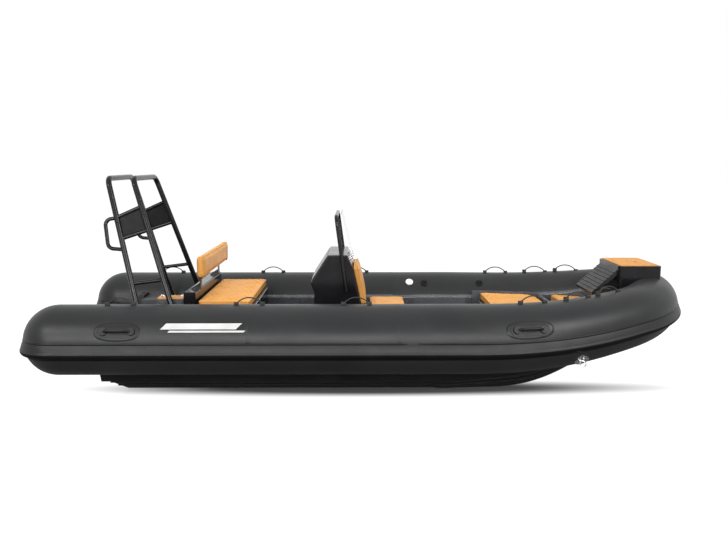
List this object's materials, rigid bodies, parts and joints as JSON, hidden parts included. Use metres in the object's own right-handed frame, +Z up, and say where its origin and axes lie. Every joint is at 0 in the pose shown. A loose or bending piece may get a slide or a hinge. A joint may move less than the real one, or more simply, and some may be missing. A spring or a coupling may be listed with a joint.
{
  "type": "rigid inflatable boat",
  "caption": "Rigid inflatable boat with a V hull, air tubes that meet at the bow, a stern arch, a steering console, cushioned seats and hinged lockers.",
  "frame": {"origin": "amidships on the centreline at the waterline", "axes": "+X to the bow, +Y to port, +Z up"},
  "size_m": [5.1156, 2.3142, 1.8038],
  "materials": {
    "tube_fabric": "coated fabric, satin",
    "strake_rubber": "moulded rubber, matt",
    "hull_gelcoat": "gelcoat, gloss",
    "liner_gelcoat": "gelcoat, satin gloss",
    "console_gelcoat": "gelcoat, satin gloss",
    "seat_vinyl": "marine vinyl, soft sheen",
    "deck_foam": "ribbed foam sheet",
    "panel_paint": "black powder coat, matt",
    "arch_paint": "black powder coat, gloss",
    "screen_acrylic": "clear acrylic",
    "bright_metal": "polished stainless steel",
    "valve_plastic": "moulded plastic",
    "grip_rubber": "moulded rubber, matt",
    "cord_black": "woven cord"
  },
  "bodies": {
    "boat": {"arch_front_hoop": "arch_paint", "arch_handles": "arch_paint", "arch_rear_hoop": "arch_paint", "arch_side_panels": "panel_paint", "arch_side_rails": "arch_paint", "bow_bolsters": "liner_gelcoat", "bow_deck": "console_gelcoat", "bow_deck_cushion": "seat_vinyl", "bow_locker_box": "console_gelcoat", "bow_step": "console_gelcoat", "bow_tread": "grip_rubber", "coaming_bow": "liner_gelcoat", "coaming_port": "liner_gelcoat", "coaming_starboard": "liner_gelcoat", "cockpit_sole": "liner_gelcoat", "console_back_pad": "seat_vinyl", "console_body": "console_gelcoat", "console_dash": "liner_gelcoat", "console_grab_rail": "arch_paint", "console_seat_box": "console_gelcoat", "engine_pad": "grip_rubber", "grab_loops_port": "cord_black", "grab_loops_starboard": "cord_black", "hand_grips_port": "grip_rubber", "hand_grips_starboard": "grip_rubber", "hull": "hull_gelcoat", "lashing_rings": "grip_rubber", "rear_backrest_brackets": "arch_paint", "rear_backrest_cushion": "seat_vinyl", "rear_bench_back": "console_gelcoat", "rear_bench_box": "console_gelcoat", "rub_strake_bow": "strake_rubber", "rub_strake_port": "strake_rubber", "rub_strake_starboard": "strake_rubber", "stern_decks": "liner_gelcoat", "stern_eyes": "bright_metal", "stern_step": "liner_gelcoat", "stern_step_pad": "deck_foam", "towing_rings": "bright_metal", "transom": "hull_gelcoat", "tube_bow": "tube_fabric", "tube_port": "tube_fabric", "tube_starboard": "tube_fabric", "tube_valves": "valve_plastic", "windscreen": "screen_acrylic", "windscreen_mounts": "bright_metal"},
    "bench_hatch": {"rear_bench_lid": "console_gelcoat", "rear_bench_cushion": "seat_vinyl"},
    "console_hatch": {"console_seat_lid": "console_gelcoat", "console_seat_cushion": "seat_vinyl"},
    "bow_hatch": {"bow_locker_lid": "console_gelcoat", "bow_locker_cushion": "seat_vinyl"},
    "step_hatch": {"bow_step_lid": "console_gelcoat", "bow_step_pad": "deck_foam"}
  },
  "joints": [
    {"name": "bench_hatch_hinge", "type": "hinge", "parent": "boat", "child": "bench_hatch", "pos_m": [-0.95, 0, 0.5], "axis": [0, 1, 0], "range_deg": [0, 95]},
    {"name": "console_hatch_hinge", "type": "hinge", "parent": "boat", "child": "console_hatch", "pos_m": [0.268, 0, 0.387], "axis": [0, 1, 0], "range_deg": [0, 95]},
    {"name": "bow_hatch_hinge", "type": "hinge", "parent": "boat", "child": "bow_hatch", "pos_m": [0.965, 0, 0.384], "axis": [0, -1, 0], "range_deg": [0, 95]},
    {"name": "step_hatch_hinge", "type": "hinge", "parent": "boat", "child": "step_hatch", "pos_m": [2.312, 0, 0.7864], "axis": [0, 1, 0], "range_deg": [0, 95]}
  ]
}
